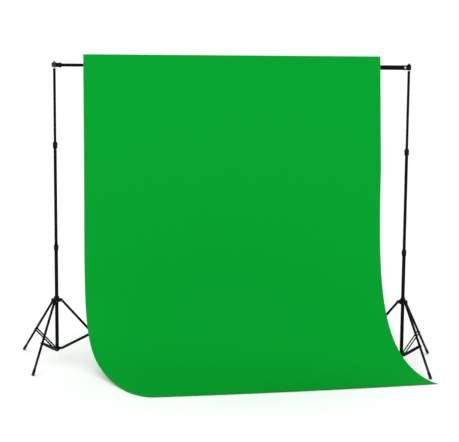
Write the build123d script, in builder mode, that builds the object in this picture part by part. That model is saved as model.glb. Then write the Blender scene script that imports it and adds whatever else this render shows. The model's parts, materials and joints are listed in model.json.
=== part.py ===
from build123d import *
from dataclasses import dataclass
from math import atan2, cos, degrees, hypot, radians, sin, sqrt
import os

# Background support: two folding tripod stands carry a telescopic crossbar,
# and a muslin sheet hangs from the bar by a sewn pocket and sweeps onto the floor.
# Frame: origin under the middle of the whole object, on the floor.
# +X runs along the crossbar, +Y points behind the sheet, +Z is up. Millimetres.

# Layout
COLUMN_SPACING = 2136.0
LAYOUT_X = 21.0
COLUMN_Y = 221.0
BAR_Z = 1828.0

# Telescopic tubes: the same stock is used for the columns and the crossbar
TUBE_WALL = 1.2
TUBE_RADII = {"16": 8.0, "19": 9.5, "22": 11.0, "25": 12.5, "28": 14.0}
SLIDE_GAP = 0.3
FIXED_GAP = 0.05
PIN_GAP = 0.05

# Column
BASE_EXPOSED = 634.0
TUBE_OVERLAP = 70.0
TOP_TUBE_GAP = 20.0
TUBE_TAIL = 14.0

# Leg linkage: lengths between pivots
PIVOT_RADIUS = 30.0
LEG_LENGTH = 495.0
LEG_TO_BRACE_PIVOT = 290.0
BRACE_LENGTH = 207.8
FOLDED_ANGLE = 3.0
LEG_R = 7.6
LEG_WALL = 1.0
LEG_HEEL = 4.5
LEG_TIP_CUT = 2.0
PIN_R = 2.0
PIN_HEAD_R = 3.6
PIN_HEAD = 1.2

# Feet
FOOT_TIP_R = 9.4
FOOT_CENTRE_Z = 8.9
FOOT_SLEEVE_R = 9.0
FOOT_SLEEVE = 34.0

# Leg hub and brace hub
HUB_R = 18.5
HUB_HALF = 12.0
HUB_CONE_TOP = 26.0
HUB_CONE_R = 14.6
EAR_GAP_HALF = 8.0
EAR_THICK = 4.0
EAR_END_R = 8.8
BRACE_HUB_R = 18.0
BRACE_HUB_HALF = 8.0
LUG_HALF = 7.6
LUG_END_R = 7.0
STRIP_INSIDE = 8.05
STRIP_THICK = 2.0
STRIP_WIDTH = 12.0

# Lock collars and knobs
COLLAR_R = 14.2
COLLAR_BELOW = 18.0
COLLAR_ABOVE = 20.0
KNOB_HEIGHT = 5.5
KNOB_SCREW_R = 3.0
KNOB_BOSS_R = 6.4
KNOB_BOSS_END = 18.0
KNOB_HEAD_START = 18.4
KNOB_HEAD = 13.0
KNOB_ROOT_R = 6.6
KNOB_END_R = 9.6
HUB_KNOB_END_R = 12.0
KNOB_FLUTES = 6
KNOB_FLUTE_R = 2.2

# Crossbar: four equal sections, the left one the thinnest
BAR_SECTION = 740.0
BAR_STARTS = (-1048.0, -620.0, -160.0, 294.0)
BAR_SIZES = ("19", "22", "25", "28")
BAR_LOCK = 25.0
BAR_LOCK_TAIL = 15.0
STUD_R = 3.175
NUT_R = 6.6

# Sheet: flat above the bend line, then each side edge is a cubic curve to its floor corner
SHEET_THICK = 1.0
SHEET_Y = -18.5
SHEET_TOP = 1893.5
BEND_Z = 1220.0
SHEET_SPANS = 14
POCKET_TOP = 20.0
POCKET_BOTTOM = -38.0
POCKET_BACK = 18.5
POCKET_WIDEST = -3.0


@dataclass(frozen=True)
class Edge:
    """One side edge of the sheet: its header and bend line ends, floor corner and curve handles."""

    top_x: float
    x: float
    corner_x: float
    corner_y: float
    drop: float
    reach: float
    lag: float

    def point(self, t):
        """Point on the edge: t = 0 at the bend line, 1 at the floor corner."""
        span = hypot(self.corner_x - self.x, self.corner_y - SHEET_Y)
        height = (1 - t) ** 3 * BEND_Z + 3 * t * (1 - t) ** 2 * self.drop
        ahead = 3 * t * t * (1 - t) * self.reach + t**3 * span
        share = ahead / span
        sideways = share + self.lag * share * (1 - share)
        return Vector(
            LAYOUT_X + self.x + (self.corner_x - self.x) * sideways,
            COLUMN_Y + SHEET_Y + (self.corner_y - SHEET_Y) * share,
            SHEET_THICK * 0.6 + height,
        )


LEFT_EDGE = Edge(-890.0, -890.0, -480.0, -751.0, 434.0, -174.0, -0.422)
RIGHT_EDGE = Edge(893.0, 913.0, 1224.0, -413.0, 492.0, 14.0, 0.117)


@dataclass(frozen=True)
class Stand:
    """One tripod stand: where it is, how far its legs are spread and which way it faces."""

    name: str
    side: int
    first_leg: float
    open_angle: float
    mid_exposed: float
    collar_knobs: float
    hub_knob: float

    @property
    def x(self):
        return LAYOUT_X + self.side * COLUMN_SPACING / 2

    @property
    def leg_pivot_z(self):
        return FOOT_CENTRE_Z + LEG_LENGTH * cos(radians(self.open_angle))

    @property
    def brace_pivot_z(self):
        return self.leg_pivot_z - pivot_gap(self.open_angle)

    @property
    def hub_travel(self):
        return pivot_gap(FOLDED_ANGLE) - pivot_gap(self.open_angle)

    @property
    def base_top_z(self):
        return self.brace_pivot_z + BASE_EXPOSED

    @property
    def mid_top_z(self):
        return self.base_top_z + self.mid_exposed

    def azimuths(self):
        return [self.first_leg + turn for turn in (0.0, 120.0, 240.0)]

    def axis_plane(self, z):
        return Plane(origin=(self.x, COLUMN_Y, z), x_dir=(1, 0, 0), z_dir=(0, 0, 1))

    def radial_plane(self, azimuth, z, tangential=0.0):
        """Upright plane through the column: local x is outwards, local y is up."""
        out = (cos(radians(azimuth)), sin(radians(azimuth)), 0)
        normal = (out[1], -out[0], 0)
        return Plane(origin=(self.x, COLUMN_Y, z), x_dir=out, z_dir=normal).offset(tangential)


def pivot_gap(angle):
    """Height of the leg pivots above the brace pivots when the legs lean by angle degrees."""
    across = LEG_TO_BRACE_PIVOT * sin(radians(angle))
    return LEG_TO_BRACE_PIVOT * cos(radians(angle)) + sqrt(BRACE_LENGTH**2 - across**2)


def brace_angle(angle):
    """Lean of the braces from upright, in degrees, when the legs lean by angle degrees."""
    across = LEG_TO_BRACE_PIVOT * sin(radians(angle))
    return degrees(atan2(across, sqrt(BRACE_LENGTH**2 - across**2)))


def finish(part, name):
    part.label = name
    export_step(part, f"parts/{name}.step")


def make_tube(plane, outer_r, wall, length):
    with BuildPart() as tube:
        with BuildSketch(plane):
            Circle(outer_r)
            Circle(outer_r - wall, mode=Mode.SUBTRACT)
        extrude(amount=length)
    return tube.part


def make_turned(plane, outline, axis_dir):
    """Solid turned from a closed outline drawn on plane, about the line through its origin."""
    with BuildPart() as turned:
        with BuildSketch(plane):
            with BuildLine():
                Polyline(*outline, close=True)
            make_face()
        revolve(axis=Axis(plane.origin, axis_dir))
    return turned.part


def make_column_tubes(stand):
    base_bottom = stand.brace_pivot_z - TUBE_TAIL
    spans = {
        "base": ("22", base_bottom, stand.base_top_z),
        "mid": ("19", stand.base_top_z - TUBE_OVERLAP, stand.mid_top_z),
        "top": ("16", stand.mid_top_z - TUBE_OVERLAP, BAR_Z - TOP_TUBE_GAP),
    }
    for name, (size, low, high) in spans.items():
        tube = make_tube(stand.axis_plane(low), TUBE_RADII[size], TUBE_WALL, high - low)
        finish(tube, f"{stand.name}_{name}_tube")


def make_tube_plug(stand):
    bottom = stand.brace_pivot_z - TUBE_TAIL
    inner = TUBE_RADII["22"] - TUBE_WALL - FIXED_GAP
    rim = TUBE_RADII["22"] + 1.2
    outline = [(0, -4), (rim - 2, -4), (rim, -2.5), (rim, 0), (inner, 0), (inner, 13), (0, 13)]
    plug = make_turned(stand.radial_plane(0, bottom), outline, (0, 0, 1))
    finish(plug, f"{stand.name}_tube_plug")


def make_collar(stand, name, z, outer_r, inner_r):
    """Split clamp on the end of the outer tube, with a boss for the knob's screw."""
    low_bore = outer_r + FIXED_GAP
    top_bore = inner_r + SLIDE_GAP
    rim = COLLAR_R
    outline = [
        (low_bore, -COLLAR_BELOW),
        (rim - 1.4, -COLLAR_BELOW),
        (rim - 0.6, -COLLAR_BELOW + 3),
        (rim, 0),
        (rim, 13),
        (rim - 1.6, COLLAR_ABOVE - 2),
        (rim - 3, COLLAR_ABOVE),
        (top_bore, COLLAR_ABOVE),
        (top_bore, 0.2),
        (low_bore, 0.2),
    ]
    plane = stand.radial_plane(stand.collar_knobs, z)
    outward = plane.x_dir
    screw_plane = Plane(origin=plane.origin + outward * (inner_r + 1.5) + (0, 0, KNOB_HEIGHT), z_dir=outward)
    with BuildPart() as collar:
        with BuildSketch(plane):
            with BuildLine():
                Polyline(*outline, close=True)
            make_face()
        revolve(axis=Axis(plane.origin, (0, 0, 1)))
        with BuildSketch(screw_plane):
            Circle(KNOB_BOSS_R)
        extrude(amount=KNOB_BOSS_END - inner_r - 1.5)
        with BuildSketch(screw_plane.offset(-1.5)):
            Circle(KNOB_SCREW_R + PIN_GAP)
        extrude(amount=KNOB_BOSS_END, mode=Mode.SUBTRACT)
    finish(collar.part, f"{stand.name}_{name}_collar")


def make_knob(plane, start, head_start, end_r, name):
    """Tapered fluted knob on a screw: local x runs from the column outwards."""
    end = head_start + KNOB_HEAD
    outline = [
        (start, 0),
        (start, KNOB_SCREW_R - 0.6),
        (start + 0.8, KNOB_SCREW_R),
        (head_start, KNOB_SCREW_R),
        (head_start, KNOB_ROOT_R - 1),
        (head_start + 1, KNOB_ROOT_R),
        (end - 2.5, end_r),
        (end - 0.8, end_r - 0.6),
        (end, end_r - 3),
        (end, 0),
    ]
    with BuildPart() as knob:
        with BuildSketch(plane):
            with BuildLine():
                Polyline(*outline, close=True)
            make_face()
        revolve(axis=Axis(plane.origin, plane.x_dir))
        flute_origin = plane.origin + plane.x_dir * (head_start + 3)
        with BuildSketch(Plane(origin=flute_origin, z_dir=plane.x_dir)):
            with PolarLocations(end_r + 0.9, KNOB_FLUTES):
                Circle(KNOB_FLUTE_R)
        extrude(amount=KNOB_HEAD, mode=Mode.SUBTRACT)
    finish(knob.part, name)


def make_collars_and_knobs(stand):
    locks = {
        "lower": (stand.base_top_z, TUBE_RADII["22"], TUBE_RADII["19"]),
        "upper": (stand.mid_top_z, TUBE_RADII["19"], TUBE_RADII["16"]),
    }
    for name, (z, outer_r, inner_r) in locks.items():
        make_collar(stand, name, z, outer_r, inner_r)
        plane = stand.radial_plane(stand.collar_knobs, z + KNOB_HEIGHT)
        make_knob(plane, inner_r + 0.6, KNOB_HEAD_START, KNOB_END_R, f"{stand.name}_{name}_knob")


def make_leg_hub(stand):
    """Sliding hub: a turned ring with three pairs of ears and a boss for its knob."""
    z = stand.leg_pivot_z
    bore = TUBE_RADII["22"] + SLIDE_GAP
    outline = [
        (bore, -HUB_HALF),
        (HUB_R - 1, -HUB_HALF),
        (HUB_R, -HUB_HALF + 1),
        (HUB_R, HUB_HALF - 3),
        (HUB_CONE_R, HUB_CONE_TOP - 1),
        (HUB_CONE_R - 1, HUB_CONE_TOP),
        (bore, HUB_CONE_TOP),
    ]
    knob_plane = stand.radial_plane(stand.hub_knob, z)
    boss = Plane(origin=knob_plane.origin + knob_plane.x_dir * (bore + 1), z_dir=knob_plane.x_dir)
    with BuildPart() as hub:
        with BuildSketch(knob_plane):
            with BuildLine():
                Polyline(*outline, close=True)
            make_face()
        revolve(axis=Axis(knob_plane.origin, (0, 0, 1)))
        for azimuth in stand.azimuths():
            for inside in (EAR_GAP_HALF, -EAR_GAP_HALF - EAR_THICK):
                with BuildSketch(stand.radial_plane(azimuth, z, inside)):
                    with Locations((PIVOT_RADIUS, 0)):
                        Circle(EAR_END_R)
                    with Locations(((12 + PIVOT_RADIUS) / 2, 0)):
                        Rectangle(PIVOT_RADIUS - 12, 2 * EAR_END_R)
                    with Locations((PIVOT_RADIUS, 0)):
                        Circle(PIN_R + PIN_GAP, mode=Mode.SUBTRACT)
                extrude(amount=EAR_THICK)
        with BuildSketch(boss):
            Circle(KNOB_BOSS_R)
        extrude(amount=KNOB_BOSS_END + 2 - bore - 1)
        with BuildSketch(boss.offset(-1.5)):
            Circle(KNOB_SCREW_R + PIN_GAP)
        extrude(amount=KNOB_BOSS_END, mode=Mode.SUBTRACT)
    finish(hub.part, f"{stand.name}_leg_hub")
    start = TUBE_RADII["22"] + 0.6
    make_knob(knob_plane, start, KNOB_HEAD_START + 2, HUB_KNOB_END_R, f"{stand.name}_hub_knob")


def make_brace_hub(stand):
    """Fixed hub at the bottom of the base tube, with a solid lug for each brace."""
    z = stand.brace_pivot_z
    bore = TUBE_RADII["22"] + FIXED_GAP
    outline = [
        (bore, -BRACE_HUB_HALF),
        (BRACE_HUB_R - 1, -BRACE_HUB_HALF),
        (BRACE_HUB_R, 1 - BRACE_HUB_HALF),
        (BRACE_HUB_R, BRACE_HUB_HALF - 1),
        (BRACE_HUB_R - 1, BRACE_HUB_HALF),
        (bore, BRACE_HUB_HALF),
    ]
    plane = stand.radial_plane(stand.first_leg, z)
    with BuildPart() as hub:
        with BuildSketch(plane):
            with BuildLine():
                Polyline(*outline, close=True)
            make_face()
        revolve(axis=Axis(plane.origin, (0, 0, 1)))
        for azimuth in stand.azimuths():
            with BuildSketch(stand.radial_plane(azimuth, z, -LUG_HALF)):
                with Locations((PIVOT_RADIUS, 0)):
                    Circle(LUG_END_R)
                with Locations(((13 + PIVOT_RADIUS) / 2, 0)):
                    Rectangle(PIVOT_RADIUS - 13, 2 * LUG_END_R)
                with Locations((PIVOT_RADIUS, 0)):
                    Circle(PIN_R + PIN_GAP, mode=Mode.SUBTRACT)
            extrude(amount=2 * LUG_HALF)
    finish(hub.part, f"{stand.name}_brace_hub")


def make_pins(stand, name, z, half_length):
    """Three headed pivot pins, one for each leg, lying across the radial directions."""
    with BuildPart() as pins:
        for azimuth in stand.azimuths():
            with BuildSketch(stand.radial_plane(azimuth, z, -half_length)):
                with Locations((PIVOT_RADIUS, 0)):
                    Circle(PIN_R)
            extrude(amount=2 * half_length)
            for head in (half_length, -half_length - PIN_HEAD):
                with BuildSketch(stand.radial_plane(azimuth, z, head)):
                    with Locations((PIVOT_RADIUS, 0)):
                        Circle(PIN_HEAD_R)
                extrude(amount=PIN_HEAD)
    finish(pins.part, f"{stand.name}_{name}_pins")


def make_leg(stand, number, azimuth):
    lean = radians(stand.open_angle)
    z = stand.leg_pivot_z
    across = stand.radial_plane(azimuth, z)
    along = across.x_dir * sin(lean) - Vector(0, 0, cos(lean))
    pivot = across.origin + across.x_dir * PIVOT_RADIUS
    with BuildPart() as leg:
        with BuildSketch(Plane(origin=pivot - along * LEG_HEEL, z_dir=along)):
            Circle(LEG_R)
            Circle(LEG_R - LEG_WALL, mode=Mode.SUBTRACT)
        extrude(amount=LEG_HEEL + LEG_LENGTH - LEG_TIP_CUT)
        with BuildSketch(across):
            with Locations((PIVOT_RADIUS, 0)):
                Circle(PIN_R + PIN_GAP)
        extrude(amount=LEG_R + 1, both=True, mode=Mode.SUBTRACT)
    finish(leg.part, f"{stand.name}_leg_{number}")
    make_foot(stand, number, pivot + along * LEG_LENGTH, along)


def make_foot(stand, number, centre, along):
    """Rubber boot pushed over the leg's end, with a round tip ground flat on the floor."""
    with BuildPart() as foot:
        with BuildSketch(Plane(origin=centre - along * FOOT_SLEEVE, z_dir=along)):
            Circle(FOOT_SLEEVE_R)
        extrude(amount=FOOT_SLEEVE)
        with Locations(centre):
            Sphere(FOOT_TIP_R)
        with BuildSketch(Plane(origin=centre - along * (FOOT_SLEEVE + 1), z_dir=along)):
            Circle(LEG_R + FIXED_GAP)
        extrude(amount=FOOT_SLEEVE + 1 - LEG_TIP_CUT + FIXED_GAP, mode=Mode.SUBTRACT)
        split(bisect_by=Plane.XY, keep=Keep.TOP)
    finish(foot.part, f"{stand.name}_foot_{number}")


def make_brace(stand, number, azimuth):
    """Two flat strips, one each side of the leg, with a rivet at the leg end of each."""
    angle = brace_angle(stand.open_angle)
    z = stand.brace_pivot_z
    far_x = PIVOT_RADIUS + BRACE_LENGTH * sin(radians(angle))
    far_y = BRACE_LENGTH * cos(radians(angle))
    middle = ((PIVOT_RADIUS + far_x) / 2, far_y / 2)
    with BuildPart() as brace:
        for inside in (STRIP_INSIDE, -STRIP_INSIDE - STRIP_THICK):
            with BuildSketch(stand.radial_plane(azimuth, z, inside)):
                with Locations(middle):
                    SlotCenterToCenter(BRACE_LENGTH, STRIP_WIDTH, rotation=90 - angle)
                with Locations((PIVOT_RADIUS, 0)):
                    Circle(PIN_R + PIN_GAP, mode=Mode.SUBTRACT)
            extrude(amount=STRIP_THICK)
        for outside in (STRIP_INSIDE + STRIP_THICK, -STRIP_INSIDE - STRIP_THICK - PIN_HEAD):
            with BuildSketch(stand.radial_plane(azimuth, z, outside)):
                with Locations((far_x, far_y)):
                    Circle(PIN_HEAD_R)
            extrude(amount=PIN_HEAD)
    finish(brace.part, f"{stand.name}_brace_{number}")


def make_spigot(stand):
    """Plug and threaded stud on the top tube, which carry the end of the crossbar."""
    plug_r = TUBE_RADII["16"] - TUBE_WALL - FIXED_GAP
    rim = TUBE_RADII["16"]
    seat = bar_end_bottom(stand)
    outline = [
        (0, -34),
        (plug_r, -34),
        (plug_r, -TOP_TUBE_GAP),
        (rim, -TOP_TUBE_GAP),
        (rim, seat - 4),
        (rim - 1.5, seat),
        (STUD_R, seat),
        (STUD_R, 27),
        (STUD_R - 0.7, 28),
        (0, 28),
    ]
    spigot = make_turned(stand.radial_plane(0, BAR_Z), outline, (0, 0, 1))
    finish(spigot, f"{stand.name}_spigot")


def bar_end_bottom(stand):
    """Underside of the bar end fitting, measured from the bar's centre line."""
    return -12.0 if stand.side < 0 else -15.0


def make_left_bar_end(stand):
    """Round boss over the stud, with a tapered socket and a ring for the thinnest tube."""
    bottom = bar_end_bottom(stand)
    bore = TUBE_RADII["19"] + FIXED_GAP
    barrel = [
        (0, bottom),
        (14.5, bottom),
        (16.5, bottom + 2.5),
        (16.5, 9),
        (15, 13.5),
        (11.5, 16),
        (0, 16),
    ]
    socket = [(0, 0), (0, 14), (12, 14), (30, 11.6), (31, 15.2), (33, 15.8), (40, 15.8), (42, 14.8), (42, 0)]
    plane = stand.radial_plane(0, BAR_Z)
    with BuildPart() as fitting:
        with BuildSketch(plane):
            with BuildLine():
                Polyline(*barrel, close=True)
            make_face()
        revolve(axis=Axis(plane.origin, (0, 0, 1)))
        with BuildSketch(plane):
            with BuildLine():
                Polyline(*socket, close=True)
            make_face()
        revolve(axis=Axis(plane.origin, (1, 0, 0)))
        with BuildSketch(stand.axis_plane(BAR_Z - 20)):
            Circle(20)
        extrude(amount=20 + bottom, mode=Mode.SUBTRACT)
        with BuildSketch(stand.axis_plane(BAR_Z - 20)):
            Circle(STUD_R + FIXED_GAP)
        extrude(amount=40, mode=Mode.SUBTRACT)
        with BuildSketch(Plane(origin=plane.origin + Vector(20, 0, 0), z_dir=(1, 0, 0))):
            Circle(bore)
        extrude(amount=30, mode=Mode.SUBTRACT)
    finish(fitting.part, "left_bar_end")


def make_right_bar_end(stand):
    """Tall boss over the stud, with a plug for the thickest tube and a flat for its screw."""
    bottom = bar_end_bottom(stand)
    plug_r = TUBE_RADII["28"] - TUBE_WALL - FIXED_GAP
    barrel = [
        (0, bottom),
        (11.6, bottom),
        (13, bottom + 2),
        (13.6, 0),
        (13, 14),
        (11, 17.5),
        (8, 19),
        (0, 19),
    ]
    neck = [(0, 0), (0, 12.5), (14, 12.5), (15, 15), (33, 15), (34, 14), (34, plug_r), (62, plug_r), (62, 0)]
    plane = stand.radial_plane(180, BAR_Z)
    with BuildPart() as fitting:
        with BuildSketch(plane):
            with BuildLine():
                Polyline(*barrel, close=True)
            make_face()
        revolve(axis=Axis(plane.origin, (0, 0, 1)))
        with BuildSketch(plane):
            with BuildLine():
                Polyline(*neck, close=True)
            make_face()
        revolve(axis=Axis(plane.origin, (1, 0, 0)))
        with BuildSketch(stand.axis_plane(BAR_Z - 20)):
            Circle(STUD_R + FIXED_GAP)
        extrude(amount=45, mode=Mode.SUBTRACT)
        with BuildSketch(bar_screw_plane(stand)):
            Circle(7)
        extrude(amount=10, mode=Mode.SUBTRACT)
        with BuildSketch(bar_screw_plane(stand)):
            Circle(2.5 + FIXED_GAP)
        extrude(amount=-9, mode=Mode.SUBTRACT)
    finish(fitting.part, "right_bar_end")


def bar_screw_plane(stand):
    return Plane(origin=(stand.x - 24, COLUMN_Y - 13.6, BAR_Z), z_dir=(0, -1, 0))


def make_bar_screw(stand):
    """Bright pan-head screw that holds the thickest tube's fitting."""
    with BuildPart() as screw:
        with BuildSketch(bar_screw_plane(stand)):
            Circle(6)
        extrude(amount=3.2)
        fillet(screw.edges().filter_by(GeomType.CIRCLE).sort_by(Axis.Y)[0], radius=1.6)
        with BuildSketch(bar_screw_plane(stand)):
            Circle(2.5)
        extrude(amount=-8.5)
        with BuildSketch(bar_screw_plane(stand).offset(1.6)):
            RegularPolygon(2.3, 6)
        extrude(amount=3, mode=Mode.SUBTRACT)
    finish(screw.part, "right_bar_screw")


def make_thumb_nut(stand):
    """Knurled thumb nut that clamps the bar end on the stud."""
    seat = BAR_Z + (16 if stand.side < 0 else 19)
    with BuildPart() as nut:
        with BuildSketch(stand.axis_plane(seat)):
            Circle(NUT_R)
            with PolarLocations(NUT_R + 0.5, 12):
                Circle(0.9, mode=Mode.SUBTRACT)
            Circle(STUD_R + PIN_GAP, mode=Mode.SUBTRACT)
        extrude(amount=5)
    finish(nut.part, f"{stand.name}_thumb_nut")


def make_crossbar():
    for number, (start, size) in enumerate(zip(BAR_STARTS, BAR_SIZES), start=1):
        plane = Plane(origin=(LAYOUT_X + start, COLUMN_Y, BAR_Z), z_dir=(1, 0, 0))
        tube = make_tube(plane, TUBE_RADII[size], TUBE_WALL, BAR_SECTION)
        finish(tube, f"bar_tube_{number}")


def make_bar_locks():
    """Expander plugs on the inner ends of the three thinner tubes, inside the next tube."""
    for number, (start, size) in enumerate(zip(BAR_STARTS[:3], BAR_SIZES[:3]), start=1):
        outer = TUBE_RADII[size]
        tail_r = outer - TUBE_WALL - FIXED_GAP
        outline = [
            (-BAR_LOCK_TAIL, 0),
            (-BAR_LOCK_TAIL, tail_r),
            (0, tail_r),
            (0, outer - 0.2),
            (BAR_LOCK - 6, outer - 0.2),
            (BAR_LOCK, outer - 2.5),
            (BAR_LOCK, 0),
        ]
        end = Vector(LAYOUT_X + start + BAR_SECTION, COLUMN_Y, BAR_Z)
        lock = make_turned(Plane(origin=end, x_dir=(1, 0, 0), z_dir=(0, -1, 0)), outline, (1, 0, 0))
        finish(lock, f"bar_lock_{number}")


def make_backdrop_upper():
    """Hanging half of the sheet, with its header and the rod pocket behind it."""
    left = LAYOUT_X + LEFT_EDGE.x
    width = RIGHT_EDGE.x - LEFT_EDGE.x
    front = SHEET_Y - SHEET_THICK / 2
    back = SHEET_Y + SHEET_THICK / 2
    side = Plane(origin=(left, COLUMN_Y, BAR_Z), x_dir=(0, 1, 0), z_dir=(1, 0, 0))
    with BuildPart() as sheet:
        with BuildSketch(side):
            with BuildLine():
                outer_top = (back, POCKET_TOP)
                outer_low = (back, POCKET_BOTTOM)
                Polyline(outer_low, (back, BEND_Z + 1 - BAR_Z), (front, BEND_Z + 1 - BAR_Z))
                Polyline((front, BEND_Z + 1 - BAR_Z), (front, SHEET_TOP - BAR_Z), (back, SHEET_TOP - BAR_Z))
                Line((back, SHEET_TOP - BAR_Z), outer_top)
                ThreePointArc(outer_top, (POCKET_BACK, POCKET_WIDEST), outer_low)
            make_face()
            with BuildLine():
                inner_top = (back, POCKET_TOP - 3)
                inner_low = (back, POCKET_BOTTOM + 3)
                ThreePointArc(inner_top, (POCKET_BACK - SHEET_THICK, POCKET_WIDEST), inner_low)
                Line(inner_low, inner_top)
            make_face(mode=Mode.SUBTRACT)
        extrude(amount=width)
        with BuildSketch(Plane(origin=(LAYOUT_X, COLUMN_Y, 0), z_dir=(0, -1, 0))):
            with BuildLine():
                Polyline(
                    (RIGHT_EDGE.x, BEND_Z),
                    (RIGHT_EDGE.top_x, SHEET_TOP),
                    (RIGHT_EDGE.x + 1, SHEET_TOP),
                    (RIGHT_EDGE.x + 1, BEND_Z),
                    close=True,
                )
            make_face()
        extrude(amount=2 * POCKET_BACK, both=True, mode=Mode.SUBTRACT)
    finish(sheet.part, "backdrop_upper")


def make_backdrop_lower():
    """Bent half of the sheet: thin sections lofted from the bend line to the floor hem."""
    with BuildPart() as sheet:
        for station in range(SHEET_SPANS + 1):
            t = station / SHEET_SPANS
            left = LEFT_EDGE.point(t)
            right = RIGHT_EDGE.point(t)
            step = 0.001
            ahead = (LEFT_EDGE.point(t + step) + RIGHT_EDGE.point(t + step)) - (
                LEFT_EDGE.point(t - step) + RIGHT_EDGE.point(t - step)
            )
            across = right - left
            along = ahead - across * (ahead.dot(across) / across.dot(across))
            plane = Plane(origin=(left + right) / 2, x_dir=across, z_dir=along)
            with BuildSketch(plane):
                Rectangle(across.length, SHEET_THICK)
        loft(ruled=True)
    finish(sheet.part, "backdrop_lower")


def make_stand(stand):
    make_column_tubes(stand)
    make_tube_plug(stand)
    make_collars_and_knobs(stand)
    make_leg_hub(stand)
    make_brace_hub(stand)
    make_pins(stand, "leg", stand.leg_pivot_z, EAR_GAP_HALF + EAR_THICK + FIXED_GAP)
    make_pins(stand, "brace", stand.brace_pivot_z, STRIP_INSIDE + STRIP_THICK + 0.4)
    for number, azimuth in enumerate(stand.azimuths(), start=1):
        make_leg(stand, number, azimuth)
        make_brace(stand, number, azimuth)
    make_spigot(stand)
    make_thumb_nut(stand)


LEFT_STAND = Stand("left", -1, 16.5, 40.8, 630.0, 293.0, 196.5)
RIGHT_STAND = Stand("right", 1, 172.2, 38.65, 617.0, 247.0, 112.2)

os.makedirs("parts", exist_ok=True)
make_stand(LEFT_STAND)
make_stand(RIGHT_STAND)
make_left_bar_end(LEFT_STAND)
make_right_bar_end(RIGHT_STAND)
make_bar_screw(RIGHT_STAND)
make_crossbar()
make_bar_locks()
make_backdrop_upper()
make_backdrop_lower()
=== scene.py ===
"""Looks of a background support: two folding stands, a telescopic crossbar and a green muslin sheet."""

import json
import logging
import math
from dataclasses import dataclass
from enum import Enum
from typing import Callable, Sequence

import bmesh
import bpy
from mathutils import Matrix, Vector


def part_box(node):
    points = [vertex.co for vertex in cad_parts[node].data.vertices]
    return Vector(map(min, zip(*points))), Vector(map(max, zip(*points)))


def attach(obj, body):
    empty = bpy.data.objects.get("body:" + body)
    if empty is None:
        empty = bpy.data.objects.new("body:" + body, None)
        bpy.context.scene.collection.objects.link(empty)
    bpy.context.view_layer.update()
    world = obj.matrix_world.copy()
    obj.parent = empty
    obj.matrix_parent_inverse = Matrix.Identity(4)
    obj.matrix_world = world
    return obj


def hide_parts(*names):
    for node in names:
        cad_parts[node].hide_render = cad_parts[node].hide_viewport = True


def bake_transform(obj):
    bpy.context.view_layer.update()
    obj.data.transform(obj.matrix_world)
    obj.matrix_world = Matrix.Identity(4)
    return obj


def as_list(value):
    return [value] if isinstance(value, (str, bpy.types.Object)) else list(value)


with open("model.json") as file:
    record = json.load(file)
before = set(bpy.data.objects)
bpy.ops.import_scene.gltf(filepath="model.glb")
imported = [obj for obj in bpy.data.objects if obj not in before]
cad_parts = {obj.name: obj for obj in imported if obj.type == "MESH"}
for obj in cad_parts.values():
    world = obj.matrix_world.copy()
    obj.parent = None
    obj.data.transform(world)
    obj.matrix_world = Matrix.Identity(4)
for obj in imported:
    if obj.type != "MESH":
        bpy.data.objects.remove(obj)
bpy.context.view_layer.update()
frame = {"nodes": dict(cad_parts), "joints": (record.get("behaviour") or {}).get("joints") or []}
LOG = logging.getLogger("background_support")

Profile = Sequence[tuple[float, float]]
Color = tuple[float, float, float, float]
JOINTS = {joint["name"]: joint for joint in frame["joints"]}
MM = 0.001
UP = Vector((0.0, 0.0, 1.0))
ALONG_BAR = Vector((1.0, 0.0, 0.0))


# ---------------------------------------------------------------- shader tools


class Tree:
    """Adds nodes to one node tree and joins them."""

    def __init__(self, tree: bpy.types.NodeTree) -> None:
        """Keep the tree that the nodes go into."""
        self.tree = tree

    def add(self, kind: str, sockets: dict | None = None, **settings: object) -> bpy.types.Node:
        """Add one node, set its properties and fill or join its sockets.

        Args:
            kind: The node's type, such as "ShaderNodeMath".
            sockets: Input name or number to a value, or to an output socket to join.
            **settings: Properties of the node, such as operation.

        Returns:
            The new node.
        """
        node = self.tree.nodes.new(kind)
        for name, value in settings.items():
            setattr(node, name, value)
        for name, value in (sockets or {}).items():
            if isinstance(value, bpy.types.NodeSocket):
                self.tree.links.new(value, node.inputs[name])
            else:
                node.inputs[name].default_value = value
        return node

    def math(self, operation: str, *values: object) -> bpy.types.NodeSocket:
        """Return the output of a Math node fed with values or sockets."""
        return self.add("ShaderNodeMath", dict(enumerate(values)), operation=operation).outputs[0]

    def mix(self, share: object, first: object, second: object) -> bpy.types.NodeSocket:
        """Return a colour between two colours, by a share from 0 to 1."""
        return self.add("ShaderNodeMix", {0: share, 6: first, 7: second}, data_type="RGBA").outputs[2]

    def blend_value(self, share: object, low: float, high: float) -> bpy.types.NodeSocket:
        """Return a value that goes from low to high as share goes from 0 to 1."""
        return self.add("ShaderNodeMapRange", {"Value": share, "To Min": low, "To Max": high}).outputs[0]

    def noise(self, vector: object, scale: object, detail: float, rough: float = 0.5) -> bpy.types.NodeSocket:
        """Return noise from 0 to 1."""
        sockets = {"Vector": vector, "Scale": scale, "Detail": detail, "Roughness": rough}
        return self.add("ShaderNodeTexNoise", sockets).outputs[0]

    def surface(self, sockets: dict) -> None:
        """End a material in one shader that has these sockets."""
        shader = self.add("ShaderNodeBsdfPrincipled", sockets)
        self.add("ShaderNodeOutputMaterial", {"Surface": shader.outputs[0]})


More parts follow.
